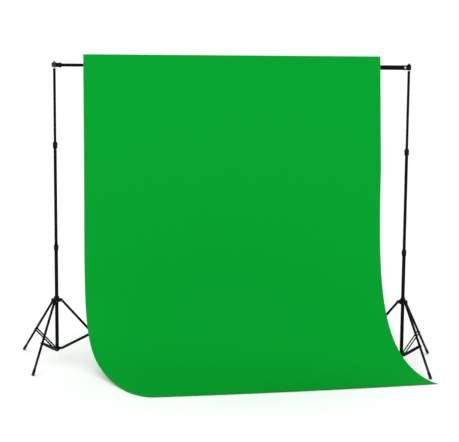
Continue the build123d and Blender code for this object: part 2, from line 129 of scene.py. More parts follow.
def new_group(name: str, numbers: dict[str, float], results: Sequence[str]) -> tuple[Tree, object]:
    """Start a shader node group that reads a vector and some numbers.

    Args:
        name: The group's name.
        numbers: Name and default of each number that it reads.
        results: Name of each number that it gives.

    Returns:
        The tree helper, and the sockets that the group's inputs come from.
    """
    group = bpy.data.node_groups.new(name, "ShaderNodeTree")
    group.interface.new_socket("Vector", in_out="INPUT", socket_type="NodeSocketVector")
    for label, default in numbers.items():
        socket = group.interface.new_socket(label, in_out="INPUT", socket_type="NodeSocketFloat")
        socket.default_value = default
    for label in results:
        group.interface.new_socket(label, in_out="OUTPUT", socket_type="NodeSocketFloat")
    tree = Tree(group)
    return tree, tree.add("NodeGroupInput").outputs


def new_material(name: str) -> tuple[bpy.types.Material, Tree]:
    """Start an empty material.

    Args:
        name: The material's name.

    Returns:
        The material and the helper that fills it.
    """
    material = bpy.data.materials.new(name)
    material.use_nodes = True
    material.node_tree.nodes.clear()
    return material, Tree(material.node_tree)


class SharedEffects:
    """Node groups for the effects that more than one finish uses."""

    def __init__(self) -> None:
        """Build each group once."""
        self.grain = self._grain()
        self.scuffs = self._scuffs()
        self.dust = self._dust()
        self.weave = self._weave()

    @staticmethod
    def _grain() -> bpy.types.NodeTree:
        """Fine moulded or sprayed grain.

        Returns:
            The group, which gives a height and a mask.
        """
        tree, given = new_group("fine_grain", {"Size": 0.001}, ("Height", "Mask"))
        scale = tree.math("DIVIDE", 1.0, given["Size"])
        noise = tree.noise(given["Vector"], scale, 3.0, 0.6)
        sockets = {"Vector": given["Vector"], "Scale": scale, "Randomness": 0.9}
        cells = tree.add("ShaderNodeTexVoronoi", sockets)
        height = tree.math("ADD", tree.math("MULTIPLY", noise, 0.6), cells.outputs["Distance"])
        tree.add("NodeGroupOutput", {"Height": height, "Mask": noise})
        return tree.tree

    @staticmethod
    def _scuffs() -> bpy.types.NodeTree:
        """Sparse rubbed marks.

        Returns:
            The group, which gives a mask that is mostly 0.
        """
        tree, given = new_group("rubbed_marks", {"Size": 0.03, "Cover": 0.3}, ("Mask",))
        scale = tree.math("DIVIDE", 1.0, given["Size"])
        broad = tree.noise(given["Vector"], scale, 2.0)
        fine = tree.noise(given["Vector"], tree.math("MULTIPLY", scale, 11.0), 6.0, 0.75)
        start = tree.math("SUBTRACT", 0.42, tree.math("MULTIPLY", given["Cover"], 0.25))
        sockets = {"Value": tree.math("MULTIPLY", broad, fine), "From Min": start}
        sockets["From Max"] = tree.math("ADD", start, 0.1)
        mask = tree.add("ShaderNodeMapRange", sockets)
        tree.add("NodeGroupOutput", {"Mask": mask.outputs[0]})
        return tree.tree

    @staticmethod
    def _dust() -> bpy.types.NodeTree:
        """Pale dust that gathers low down.

        Returns:
            The group, which gives a mask that fades with height.
        """
        tree, given = new_group("floor_dust", {"Height": 0.05}, ("Mask",))
        split = tree.add("ShaderNodeSeparateXYZ", {0: given["Vector"]})
        low = tree.math("SUBTRACT", 1.0, tree.math("DIVIDE", split.outputs["Z"], given["Height"]))
        low.node.use_clamp = True
        mask = tree.math("MULTIPLY", low, tree.noise(given["Vector"], 160.0, 4.0))
        tree.add("NodeGroupOutput", {"Mask": mask})
        return tree.tree

    @staticmethod
    def _weave() -> bpy.types.NodeTree:
        """Plain weave on a flat map in metres.

        Returns:
            The group, which gives the threads' height and how uneven their colour is.
        """
        tree, given = new_group("plain_weave", {"Pitch": 0.0006}, ("Height", "Slub"))
        split = tree.add("ShaderNodeSeparateXYZ", {0: given["Vector"]})
        turn = tree.math("DIVIDE", math.pi, given["Pitch"])
        across = tree.math("SINE", tree.math("MULTIPLY", split.outputs["X"], turn))
        along = tree.math("SINE", tree.math("MULTIPLY", split.outputs["Y"], turn))
        over = tree.math("MULTIPLY", across, along)
        side = tree.blend_value(tree.math("ADD", tree.math("MULTIPLY", over, 0.5), 0.5), 0.0, 1.0)
        warp = tree.math("MULTIPLY", tree.math("ABSOLUTE", across), side)
        weft = tree.math("MULTIPLY", tree.math("ABSOLUTE", along), tree.math("SUBTRACT", 1.0, side))
        slubs = []
        for stretch in ((900.0, 14.0, 1.0), (14.0, 900.0, 1.0)):
            mapped = tree.add("ShaderNodeMapping", {"Vector": given["Vector"], "Scale": stretch})
            slubs.append(tree.noise(mapped.outputs[0], 1.0, 2.0))
        slub = tree.math("MULTIPLY", tree.math("ADD", *slubs), 0.5)
        tree.add("NodeGroupOutput", {"Height": tree.math("ADD", warp, weft), "Slub": slub})
        return tree.tree


EFFECTS = SharedEffects()


# -------------------------------------------------------------------- finishes


def grey(value: float) -> Color:
    """Return an opaque neutral colour."""
    return (value, value, value, 1.0)


@dataclass(frozen=True)
class Finish:
    """One surface finish: what it is made of and how it has worn."""

    name: str
    slot: str
    color: Color
    worn_color: Color
    roughness: float
    metallic: float = 0.0
    grain: float = 0.0006
    grain_depth: float = 0.00002
    cover: float = 0.2
    dust_height: float = 0.0
    drawn: tuple[float, float, float] = (1.0, 1.0, 1.0)
    gloss: float = 0.5

    def build(self) -> bpy.types.Material:
        """Make the material, with grain, rubbed marks and dust where the finish has them.

        Returns:
            The material, ready to be put on any number of pieces.
        """
        material, tree = new_material(self.name)
        coords = tree.add("ShaderNodeTexCoord").outputs["Object"]
        drawn = tree.add("ShaderNodeMapping", {"Vector": coords, "Scale": self.drawn}).outputs[0]
        sockets = {"Vector": drawn, "Size": self.grain}
        grain = tree.add("ShaderNodeGroup", sockets, node_tree=EFFECTS.grain)
        sockets = {"Vector": coords, "Cover": self.cover}
        marks = tree.add("ShaderNodeGroup", sockets, node_tree=EFFECTS.scuffs)
        shade = tree.blend_value(grain.outputs["Mask"], 0.0, 0.25)
        worn = tree.math("MAXIMUM", marks.outputs["Mask"], shade)
        color = tree.mix(tree.math("MULTIPLY", worn, 0.5), self.color, self.worn_color)
        if self.dust_height > 0.0:
            sockets = {"Vector": coords, "Height": self.dust_height}
            dust = tree.add("ShaderNodeGroup", sockets, node_tree=EFFECTS.dust)
            color = tree.mix(tree.math("MULTIPLY", dust.outputs[0], 0.3), color, grey(0.32))
        rough = tree.blend_value(worn, self.roughness, min(1.0, self.roughness + 0.18))
        sockets = {"Height": grain.outputs["Height"], "Distance": self.grain_depth, "Strength": 0.6}
        bump = tree.add("ShaderNodeBump", sockets).outputs[0]
        sockets = {"Base Color": color, "Roughness": rough, "Normal": bump, "Metallic": self.metallic}
        tree.surface({**sockets, "Specular IOR Level": self.gloss})
        return material


@dataclass(frozen=True)
class MuslinFinish:
    """Dyed plain-weave cotton: thread relief, slubs and a soft sheen, on a map in metres."""

    name: str = "green_muslin"
    slot: str = "green_muslin"
    color: Color = (0.0011, 0.318, 0.0255, 1.0)
    deep_color: Color = (0.0009, 0.294, 0.0230, 1.0)
    pitch: float = 0.0006
    relief: float = 0.00008
    gloss: float = 0.03

    def build(self) -> bpy.types.Material:
        """Make the material.

        Returns:
            The cloth's material, which reads the piece's own UV map.
        """
        material, tree = new_material(self.name)
        flat = tree.add("ShaderNodeUVMap", uv_map="cloth").outputs[0]
        weave = tree.add("ShaderNodeGroup", {"Vector": flat, "Pitch": self.pitch}, node_tree=EFFECTS.weave)
        slub = weave.outputs["Slub"]
        sockets = {"Height": weave.outputs["Height"], "Distance": self.relief, "Strength": 0.5}
        threads = tree.add("ShaderNodeBump", sockets).outputs[0]
        sockets = {"Height": slub, "Distance": self.relief, "Strength": 0.4, "Normal": threads}
        bump = tree.add("ShaderNodeBump", sockets).outputs[0]
        sockets = {"Base Color": tree.mix(slub, self.deep_color, self.color), "Normal": bump}
        sockets["Roughness"] = tree.blend_value(slub, 0.78, 0.9)
        tree.surface({**sockets, "Specular IOR Level": self.gloss})
        return material


BLACK = (0.0026, 0.0025, 0.0024, 1.0)
SOFT_BLACK = (0.0034, 0.0034, 0.0032, 1.0)
WORN_BLACK = grey(0.011)


class Dressing(Enum):
    """The finishes that the pieces of this kit have."""

    TUBE = Finish(
        "black_tube", "tube_finish", BLACK, WORN_BLACK, 0.34, drawn=(1.0, 1.0, 0.08), grain=0.0008, gloss=0.05
    )
    BAR = Finish(
        "black_bar", "tube_finish", BLACK, WORN_BLACK, 0.34, drawn=(0.08, 1.0, 1.0), grain=0.0008, gloss=0.05
    )
    LEG = Finish("black_leg", "tube_finish", BLACK, WORN_BLACK, 0.36, dust_height=0.12, gloss=0.05)
    STRIP = Finish(
        "black_strip", "brace_paint", BLACK, WORN_BLACK, 0.42, dust_height=0.12, grain=0.0009, gloss=0.05
    )
    MOULDING = Finish(
        "black_moulding", "moulded_plastic", SOFT_BLACK, WORN_BLACK, 0.5, grain=0.0005, grain_depth=0.00004,
        gloss=0.06,
    )
    OLIVE = Finish(
        "olive_moulding", "moulded_plastic", (0.026, 0.0225, 0.0125, 1.0), (0.05, 0.045, 0.028, 1.0), 0.5,
        grain=0.0005, grain_depth=0.00004, gloss=0.12,
    )
    KNOB = Finish("knob_moulding", "knob_plastic", SOFT_BLACK, WORN_BLACK, 0.4, grain=0.0006, gloss=0.12)
    RUBBER = Finish(
        "foot_rubber", "foot_rubber", grey(0.0045), grey(0.02), 0.75, grain=0.0009, grain_depth=0.00005,
        cover=0.4, dust_height=0.02, gloss=0.08,
    )
    PIN = Finish("dark_zinc", "pin_steel", grey(0.1), grey(0.2), 0.38, metallic=1.0, grain=0.0004)
    STEEL = Finish("bright_steel", "bright_steel", grey(0.62), grey(0.45), 0.24, metallic=1.0, grain=0.0003)
    BRASS = Finish(
        "yellow_zinc", "nut_brass", (0.09, 0.07, 0.03, 1.0), (0.05, 0.04, 0.02, 1.0), 0.38, metallic=1.0,
        grain=0.0004,
    )
    NYLON = Finish("natural_nylon", "lock_plastic", grey(0.5), grey(0.4), 0.45, grain=0.0008)
    NYLON_BLACK = Finish(
        "black_nylon", "moulded_plastic", SOFT_BLACK, WORN_BLACK, 0.42, grain=0.0008, gloss=0.12
    )
    THREAD = Finish(
        "green_thread", "green_muslin", (0.001, 0.31, 0.024, 1.0), (0.001, 0.25, 0.02, 1.0), 0.6,
        grain=0.0004, gloss=0.05,
    )
    MUSLIN = MuslinFinish()


MATERIALS: dict[Dressing, bpy.types.Material] = {}


def material_of(dressing: Dressing) -> bpy.types.Material:
    """Return the material of a finish, made the first time it is asked for.

    Args:
        dressing: The finish.

    Returns:
        Its material.
    """
    if dressing not in MATERIALS:
        MATERIALS[dressing] = dressing.value.build()
    return MATERIALS[dressing]


# ------------------------------------------------------------------ mesh tools


def placing(origin: Vector, z_axis: Vector, x_axis: Vector) -> Matrix:
    """Return the matrix that carries a local frame to a place.

    Args:
        origin: Where the local origin goes, in metres.
        z_axis: Where local Z points.
        x_axis: Roughly where local X points.

    Returns:
        A 4x4 matrix with square axes.
    """
    up = z_axis.normalized()
    side = (x_axis - up * x_axis.dot(up)).normalized()
    turn = Matrix((side, up.cross(side), up)).transposed()
    return Matrix.Translation(origin) @ turn.to_4x4()


def flat_against(near: Vector, along: Vector, outside: Vector) -> Matrix:
    """Return the place of a plate: local Z along it, local Y through its thickness."""
    return placing(near, along, outside.cross(along))


def shade(bm: bmesh.types.BMesh, angle: float) -> None:
    """Smooth the faces and keep edges sharper than an angle crisp.

    Args:
        bm: The mesh.
        angle: Least turn of a crisp edge, in degrees.
    """
    limit = math.radians(angle)
    for face in bm.faces:
        face.smooth = True
    for edge in bm.edges:
        edge.smooth = len(edge.link_faces) != 2 or edge.calc_face_angle() < limit


def add_object(name: str, bm: bmesh.types.BMesh, material: bpy.types.Material) -> bpy.types.Object:
    """Write a mesh to a new object in the scene.

    Args:
        name: The object's name.
        bm: Its mesh, which is freed.
        material: What it is made of.

    Returns:
        The object.
    """
    mesh = bpy.data.meshes.new(name)
    bm.to_mesh(mesh)
    bm.free()
    mesh.materials.append(material)
    made = bpy.data.objects.new(name, mesh)
    bpy.context.scene.collection.objects.link(made)
    return made


def add_dressed(name: str, bm: bmesh.types.BMesh, dressing: Dressing) -> bpy.types.Object:
    """Write a mesh to a new object that has a finish.

    Args:
        name: The object's name.
        bm: Its mesh, which is freed.
        dressing: Its finish.

    Returns:
        The object.
    """
    made = add_object(name, bm, material_of(dressing))
    return made


class Shell:
    """One closed shell, made about its own origin in millimetres, before it goes into a piece."""

    def __init__(self) -> None:
        """Start with an empty mesh."""
        self.bm = bmesh.new()

    @classmethod
    def turned(cls, outline: Profile, steps: int = 48, ring: bool = False, slit: float = 0.0) -> "Shell":
        """Turn an outline about local Z.

        Args:
            outline: (radius, height) points. Without ring, it starts and ends on the axis.
            steps: How many facets go round.
            ring: The outline is closed and stays clear of the axis.
            slit: Angle left open, in degrees, centred on local X.

        Returns:
            The closed shell.
        """
        shell = cls()
        points = [shell.bm.verts.new((radius, 0.0, height)) for radius, height in outline]
        pairs = list(zip(points, points[1:])) + ([(points[-1], points[0])] if ring else [])
        geom = points + [shell.bm.edges.new(pair) for pair in pairs]
        if slit > 0.0:
            geom = geom + [shell.bm.faces.new(points)]
            half = Matrix.Rotation(math.radians(slit / 2), 3, "Z")
            bmesh.ops.rotate(shell.bm, verts=points, matrix=half)
        bmesh.ops.spin(
            shell.bm, geom=geom, axis=(0.0, 0.0, 1.0), angle=math.tau - math.radians(slit), steps=steps,
            use_merge=slit == 0.0,
        )
        bmesh.ops.remove_doubles(shell.bm, verts=shell.bm.verts, dist=0.001)
        bmesh.ops.recalc_face_normals(shell.bm, faces=shell.bm.faces)
        return shell

    @classmethod
    def stadium(cls, radius: float, length: float, thick: float, ends: int = 24) -> "Shell":
        """Make a round-ended plate in the local XZ plane.

        Args:
            radius: Half of the plate's width.
            length: Distance between the centres of its ends, along local Z from the origin.
            thick: Thickness, from local Y = 0 upwards.
            ends: How many points go round both ends, a multiple of 4.

        Returns:
            The closed plate.
        """
        shell = cls()
        turn = Matrix.Rotation(math.radians(90.0), 4, "X") @ Matrix.Rotation(math.pi / ends, 4, "Z")
        made = bmesh.ops.create_circle(shell.bm, cap_ends=True, segments=ends, radius=radius, matrix=turn)
        far = [vert for vert in made["verts"] if vert.co.z > 0.0]
        bmesh.ops.translate(shell.bm, verts=far, vec=(0.0, 0.0, length))
        swept = bmesh.ops.extrude_face_region(shell.bm, geom=shell.bm.faces[:])
        moved = [item for item in swept["geom"] if isinstance(item, bmesh.types.BMVert)]
        bmesh.ops.translate(shell.bm, verts=moved, vec=(0.0, thick, 0.0))
        bmesh.ops.recalc_face_normals(shell.bm, faces=shell.bm.faces)
        return shell

    @classmethod
    def block(cls, size: tuple[float, float, float], centre: tuple[float, float, float]) -> "Shell":
        """Make a block, to be softened and used as a rib or a web.

        Args:
            size: Its length along each local axis.
            centre: Its middle.

        Returns:
            The closed block.
        """
        shell = cls()
        place = Matrix.Translation(centre) @ Matrix.Diagonal((*size, 1.0))
        bmesh.ops.create_cube(shell.bm, size=1.0, matrix=place)
        return shell

    def soften(self, width: float, angle: float = 28.0) -> "Shell":
        """Round the edges that are sharper than an angle.

        Args:
            width: Width of the rounding, in millimetres.
            angle: Least turn of a rounded edge, in degrees.

        Returns:
            The same shell.
        """
        limit = math.radians(angle)
        sharp = [e for e in self.bm.edges if len(e.link_faces) == 2 and e.calc_face_angle() > limit]
        bmesh.ops.bevel(
            self.bm, geom=sharp, offset=width, offset_type="OFFSET", segments=2, profile=0.5,
            affect="EDGES", material=-1, clamp_overlap=True,
        )
        return self

    def flute(self, count: int, depth: float, low: float, high: float, sharpness: float = 2.0) -> "Shell":
        """Press flutes into the rim, deepest at the high end.

        Args:
            count: Number of flutes round the axis.
            depth: Depth at the high end, in millimetres.
            low: Height where they start.
            high: Height where they are deepest.
            sharpness: Above 1 for flutes narrower than the lands between them.

        Returns:
            The same shell.
        """
        for vert in self.bm.verts:
            radius = math.hypot(vert.co.x, vert.co.y)
            share = min(1.0, max(0.0, (vert.co.z - low) / (high - low)))
            if radius < depth * 2 or share == 0.0:
                continue
            wave = (0.5 + 0.5 * math.cos(count * math.atan2(vert.co.y, vert.co.x))) ** sharpness
            scale = 1.0 - depth * wave * share / radius
            vert.co.x *= scale
            vert.co.y *= scale
        return self


class Piece:
    """One visible piece: shells gathered in the row frame, then dressed and given to a body."""

    def __init__(self, name: str) -> None:
        """Start an empty piece, which will have this name."""
        self.name = name
        self.bm = bmesh.new()

    def add(self, shell: Shell, place: Matrix) -> "Piece":
        """Put a shell in its place.

        Args:
            shell: The shell, in millimetres.
            place: Where its local frame goes, in metres.

        Returns:
            The same piece.
        """
        spare = bpy.data.meshes.new("spare")
        shell.bm.to_mesh(spare)
        shell.bm.free()
        spare.transform(place @ Matrix.Scale(MM, 4))
        self.bm.from_mesh(spare)
        bpy.data.meshes.remove(spare)
        return self

    def turn(
        self, outline: Profile, place: Matrix, steps: int = 48, ring: bool = False, soft: float = 0.0
    ) -> "Piece":
        """Put a turned shell in its place.

        Args:
            outline: (radius, height) points, in millimetres.
            place: Where its local frame goes, in metres.
            steps: How many facets go round.
            ring: The outline is closed and stays clear of the axis.
            soft: Width of the rounding on its edges, in millimetres.

        Returns:
            The same piece.
        """
        shell = Shell.turned(outline, steps, ring)
        return self.add(shell.soften(soft) if soft > 0.0 else shell, place)

    def cut_at_floor(self) -> "Piece":
        """Cut away what is below the floor and close the cut.

        Returns:
            The same piece.
        """
        geom = self.bm.verts[:] + self.bm.edges[:] + self.bm.faces[:]
        cut = bmesh.ops.bisect_plane(
            self.bm, geom=geom, dist=1e-7, plane_co=(0.0, 0.0, 0.0), plane_no=(0.0, 0.0, -1.0),
            clear_outer=True,
        )
        rim = [item for item in cut["geom_cut"] if isinstance(item, bmesh.types.BMEdge)]
        bmesh.ops.contextual_create(self.bm, geom=rim)
        bmesh.ops.recalc_face_normals(self.bm, faces=self.bm.faces)
        return self

    def finish(self, dressing: Dressing, body: str, *stands_for: str) -> None:
        """Dress the piece, give it to a body and hide the nodes that it stands for.

        Args:
            dressing: Its finish.
            body: The body that it moves with.
            *stands_for: CAD nodes that it replaces.
        """
        shade(self.bm, 32.0)
        made = add_dressed(self.name, self.bm, dressing)
        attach(made, body)
        if stands_for:
            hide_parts(*stands_for)
        LOG.info("%s rides on %s", self.name, body)


def dress_node(node: str, dressing: Dressing) -> None:
    """Give a CAD node that stays its finish.

    Args:
        node: The node's name.
        dressing: Its finish.
    """
    materials = frame["nodes"][node].data.materials
    materials.clear()
    materials.append(material_of(dressing))


# ---------------------------------------------------------------------- stands


@dataclass(frozen=True)
class StandPlace:
    """Where one stand's column and pivots are, read from the frame's joints."""

    name: str
    leg_length: float = 0.495
    leg_to_brace: float = 0.290
    foot_centre: float = 0.0089

    def point(self, joint: str) -> Vector:
        """Return a joint's place."""
        return Vector(JOINTS[f"{self.name}_{joint}"]["pos_m"])

    @property
    def column(self) -> Vector:
        """Return the column's foot point on the floor plane."""
        top = self.point("thumb_nut_turn")
        return Vector((top.x, top.y, 0.0))

    def outward(self, number: int) -> Vector:
        """Return the level direction in which a leg stands out."""
        pivot = self.point(f"leg_{number}_hinge")
        return Vector((pivot.x - self.column.x, pivot.y - self.column.y, 0.0)).normalized()

    def leg_direction(self, number: int) -> Vector:
        """Return the direction from a leg's pivot to its foot."""
        drop = (self.point(f"leg_{number}_hinge").z - self.foot_centre) / self.leg_length
        return self.outward(number) * math.sqrt(1.0 - drop * drop) - UP * drop

    def across(self, number: int) -> Vector:
        """Return the level direction of a leg's pivot pin."""
        return UP.cross(self.outward(number))

    def at_height(self, height: float) -> Vector:
        """Return the point on the column at a height."""
        return self.column + UP * height

    def facing(self, joint: str) -> Vector:
        """Return the level direction in which a knob's joint axis points."""
        return Vector(JOINTS[f"{self.name}_{joint}"]["axis"]).normalized()


@dataclass
class ClampKnobs:
    """Fluted clamp knobs: a moulded head, a pressed-in cap and a screw."""

    place: StandPlace
    head: float = 13.0
    root_radius: float = 6.6
    end_radius: float = 9.6
    flutes: int = 6
    flute_depth: float = 2.0
    screw_radius: float = 3.0

    def build(self, level: str, screw_start: float, head_start: float) -> None:
        """Make one knob, as three pieces on its body.

        Args:
            level: lower, upper or hub.
            screw_start: Distance of the screw's inner end from the column's axis.
            head_start: Distance of the head's inner face from the column's axis.
        """
        body = f"{self.place.name}_{level}_knob"
        origin = self.place.point(f"{level}_knob_turn")
        outward = self.place.facing(f"{level}_knob_turn")
        root, wide, end, screw = self.root_radius, self.end_radius, self.head, self.screw_radius
        outline = [
            (0, 0), (root - 1, 0), (root, 1), (root + 0.3, 2.2), (wide - 0.1, end - 3.4), (wide, end - 2.2),
            (wide - 0.5, end - 0.9), (wide - 1.6, end - 0.2), (4.9, end), (4.6, end - 0.8), (0, end - 0.8),
        ]
        grip = Shell.turned(outline, steps=96).flute(self.flutes, self.flute_depth, 2.4, end - 2.0)
        at_head = placing(origin + outward * head_start * MM, outward, UP)
        Piece(f"{body}_head").add(grip, at_head).finish(Dressing.KNOB, body, body)
        outline = [
            (0, end - 1.2), (4.4, end - 1.2), (4.4, end - 0.4), (3.9, end), (2.0, end + 0.25), (0, end + 0.3),
        ]
        Piece(f"{body}_cap").turn(outline, at_head).finish(Dressing.MOULDING, body)
        length = head_start + 1.0 - screw_start
        outline = [(0, 0), (screw - 0.8, 0), (screw, 0.8), (screw, length), (0, length)]
        at_screw = placing(origin + outward * screw_start * MM, outward, UP)
        Piece(f"{body}_screw").turn(outline, at_screw, steps=32).finish(Dressing.PIN, body)


@dataclass
class LockCollar:
    """Split clamp at a tube's end: a slit sleeve with grip ribs, a seat band and a screw boss."""

    place: StandPlace
    rim: float = 14.2
    below: float = 18.0
    above: float = 20.0
    slit: float = 7.0
    ribs: int = 14
    boss_radius: float = 6.4
    boss_end: float = 18.0
    boss_height: float = 5.5

    def build(self, level: str, body: str, outer: float, inner: float) -> None:
        """Make one collar and the bush between its tubes.

        Args:
            level: lower or upper.
            body: The body that it is fixed to.
            outer: Radius of the tube that it sits on.
            inner: Radius of the tube that slides in it.
        """
        name = f"{self.place.name}_{level}"
        facing = self.place.facing(f"{level}_knob_turn")
        origin = self.place.at_height(self.place.point(f"{level}_knob_turn").z - self.boss_height * MM)
        bore, mouth, rim = outer + 0.05, inner + 0.9, self.rim
        outline = [
            (bore, -self.below), (rim - 1.5, -self.below), (rim - 0.7, -self.below + 2), (rim - 0.7, -7.5),
            (rim - 1.2, -6.9), (rim - 1.2, -5.4), (rim, -4.6), (rim, 12.5), (rim - 0.6, 14.4),
            (rim - 2.0, self.above - 1.6), (rim - 3.0, self.above), (mouth, self.above), (mouth, 0.2),
            (bore, 0.2),
        ]
        away = placing(origin, UP, -facing)
        collar = Piece(f"{name}_collar_clamp")
        collar.add(Shell.turned(outline, steps=64, ring=True, slit=self.slit).soften(0.35), away)
        for number in range(self.ribs):
            turn = math.radians(self.slit + 12 + number * (336 - self.slit) / (self.ribs - 1))
            rib = Shell.block((0.9, 1.5, 8.4), (rim - 0.5, 0, -12.0)).soften(0.35)
            collar.add(rib, away @ Matrix.Rotation(turn, 4, "Z"))
        at_boss = placing(origin + UP * self.boss_height * MM, facing, UP)
        start, boss, end = inner + 1.5, self.boss_radius, self.boss_end
        outline = [
            (3.1, start), (boss, start), (boss, end - 2.4), (boss + 0.5, end - 1.8), (boss + 0.5, end),
            (3.1, end),
        ]
        collar.turn(outline, at_boss, ring=True, soft=0.3)
        for side in (-1, 1):
            web = Shell.block((2.2, 1.8, 6.0), (-side * (boss + 0.2), 0.0, start + 5.6)).soften(0.5)
            collar.add(web, at_boss)
        collar.finish(Dressing.MOULDING, body, f"{name}_collar")
        outline = [
            (inner + 0.15, 2), (inner + 0.85, 2), (inner + 0.85, 20.3), (inner + 1.6, 20.3),
            (inner + 1.3, 21.2), (inner + 0.15, 21.2),
        ]
        Piece(f"{name}_bush").turn(outline, away, ring=True).finish(Dressing.NYLON_BLACK, body)


@dataclass
class LegLinkage:
    """Sliding hub, fixed brace hub, braces, pins, leg caps and rubber feet of one stand."""

    place: StandPlace
    bore: float = 11.3
    hub_radius: float = 18.5
    ear_gap: float = 8.0
    ear_thick: float = 4.0
    ear_radius: float = 8.8
    lug_half: float = 7.6
    lug_radius: float = 7.0
    strip_inside: float = 8.05
    strip_thick: float = 2.0
    strip_half_width: float = 6.0
    leg_radius: float = 7.6
    foot_radius: float = 9.4

    def build(self) -> None:
        """Make the linkage's pieces."""
        name = self.place.name
        self._leg_hub()
        self._brace_hub()
        self._pins("leg", f"{name}_hub", self.ear_gap + self.ear_thick)
        self._pins("brace", f"{name}_base", self.strip_inside + self.strip_thick)
        for number in (1, 2, 3):
            self._brace(number)
            self._foot(number)
            self._leg_cap(number)
            dress_node(f"{name}_leg_{number}", Dressing.LEG)

    def _leg_hub(self) -> None:
        """Sliding hub: a stepped ring, three pairs of ears with thickened eyes and a screw boss."""
        radius = self.hub_radius
        outline = [
            (self.bore, -12), (radius - 1, -12), (radius, -11), (radius, -5), (radius - 0.7, -4.3),
            (radius - 0.7, 3.6), (radius, 4.3), (radius, 9), (14.8, 24.2), (13.6, 26), (self.bore, 26),
        ]
        centre = self.place.at_height(self.place.point("leg_1_hinge").z)
        facing = self.place.facing("hub_knob_turn")
        hub = Piece(f"{self.place.name}_leg_hub_casting")
        hub.turn(outline, placing(centre, UP, facing), steps=64, ring=True, soft=0.4)
        for number in (1, 2, 3):
            pivot = self.place.point(f"leg_{number}_hinge")
            for side in (1, -1):
                face = self.place.across(number) * side
                at_ear = flat_against(pivot + face * self.ear_gap * MM, -self.place.outward(number), face)
                hub.add(Shell.stadium(self.ear_radius, 12.0, self.ear_thick).soften(0.6), at_ear)
        boss = [(3.1, 12.5), (6.4, 12.5), (6.4, 17.8), (6.9, 18.3), (6.9, 20), (3.1, 20)]
        hub.turn(boss, placing(centre, facing, UP), ring=True, soft=0.3)
        hub.finish(Dressing.MOULDING, f"{self.place.name}_hub", f"{self.place.name}_leg_hub")

    def _brace_hub(self) -> None:
        """Fixed hub: a flanged ring with three lugs."""
        outline = [
            (11.05, -8), (17, -8), (18, -7), (18, -3.4), (17.1, -2.6), (17.1, 2.6), (18, 3.4), (18, 7),
            (17, 8), (11.05, 8),
        ]
        centre = self.place.at_height(self.place.point("brace_1_hinge").z)
        hub = Piece(f"{self.place.name}_brace_hub_casting")
        hub.turn(outline, placing(centre, UP, ALONG_BAR), steps=64, ring=True, soft=0.4)
        for number in (1, 2, 3):
            across = self.place.across(number)
            near = self.place.point(f"brace_{number}_hinge") - across * self.lug_half * MM
            lug = Shell.stadium(self.lug_radius, 11.0, 2 * self.lug_half).soften(0.6)
            hub.add(lug, flat_against(near, -self.place.outward(number), across))
        hub.finish(Dressing.MOULDING, f"{self.place.name}_base", f"{self.place.name}_brace_hub")

    def _pins(self, joint: str, body: str, half: float) -> None:
        """Three headed pivot pins with domed ends.

        Args:
            joint: leg or brace.
            body: The body that holds them.
            half: Half of their length between the heads.
        """
        head = [(3.6, half + 0.05), (3.6, half + 0.5), (3.1, half + 1.1), (1.9, half + 1.6), (0, half + 1.75)]
        tail = [(radius, -height) for radius, height in reversed(head)]
        outline = tail + [(2.0, -half - 0.05), (2.0, half + 0.05)] + head
        name = f"{self.place.name}_{joint}_pins"
        pins = Piece(f"{name}_domed")
        for number in (1, 2, 3):
            pivot = self.place.point(f"{joint}_{number}_hinge")
            pins.turn(outline, placing(pivot, self.place.across(number), UP), steps=32)
        pins.finish(Dressing.PIN, body, name)

    def _brace(self, number: int) -> None:
        """Two flat strips with a pressed bead each, and the rivets at the leg end.

        Args:
            number: Which leg of the stand.
        """
        body = f"{self.place.name}_brace_{number}"
        start = self.place.point(f"brace_{number}_hinge")
        leg_pivot = self.place.point(f"leg_{number}_hinge")
        end = leg_pivot + self.place.leg_direction(number) * self.place.leg_to_brace
        along = (end - start).normalized()
        length = (end - start).length / MM
        outside = self.strip_inside + self.strip_thick
        dome = [(0, -0.2), (3.6, -0.2), (3.6, 0.4), (3.0, 1.0), (1.8, 1.35), (0, 1.5)]
        strips, rivets = Piece(f"{body}_strips"), Piece(f"{body}_rivets")
        for side in (1, -1):
            face = self.place.across(number) * side
            plate = Shell.stadium(self.strip_half_width, length, self.strip_thick, ends=32).soften(0.4)
            strips.add(plate, flat_against(start + face * self.strip_inside * MM, along, face))
            bead = Shell.stadium(1.8, length - 52, 0.75).soften(0.4)
            strips.add(bead, flat_against(start + face * (outside - 0.3) * MM + along * 26 * MM, along, face))
            rivets.turn(dome, placing(end + face * outside * MM, face, UP), steps=32)
        strips.finish(Dressing.STRIP, body, body)
        rivets.finish(Dressing.PIN, body)

    def _foot(self, number: int) -> None:
        """Rubber boot: a rolled lip, two grip rings and a round tip flat on the floor.

        Args:
            number: Which leg of the stand.
        """
        name = self.place.name
        along = self.place.leg_direction(number)
        centre = self.place.point(f"leg_{number}_hinge") + along * self.place.leg_length
        bore, tip = self.leg_radius + 0.05, self.foot_radius
        outline = [(0, -2), (bore, -2), (bore, -34), (8.4, -34), (8.9, -33.6), (9.0, -32.6), (8.6, -31.6)]
        for ring in (-29.4, -25.4):
            outline += [(8.5, ring), (9.0, ring + 0.5), (9.0, ring + 1.7), (8.5, ring + 2.2)]
        outline += [(8.6, -10), (9.1, -4)]
        for turn in range(0, 90, 10):
            outline.append((tip * math.cos(math.radians(turn)), tip * math.sin(math.radians(turn))))
        foot = Piece(f"{name}_foot_{number}_boot").turn(outline + [(0, tip)], placing(centre, along, UP))
        foot.cut_at_floor().finish(Dressing.RUBBER, f"{name}_leg_{number}", f"{name}_foot_{number}")

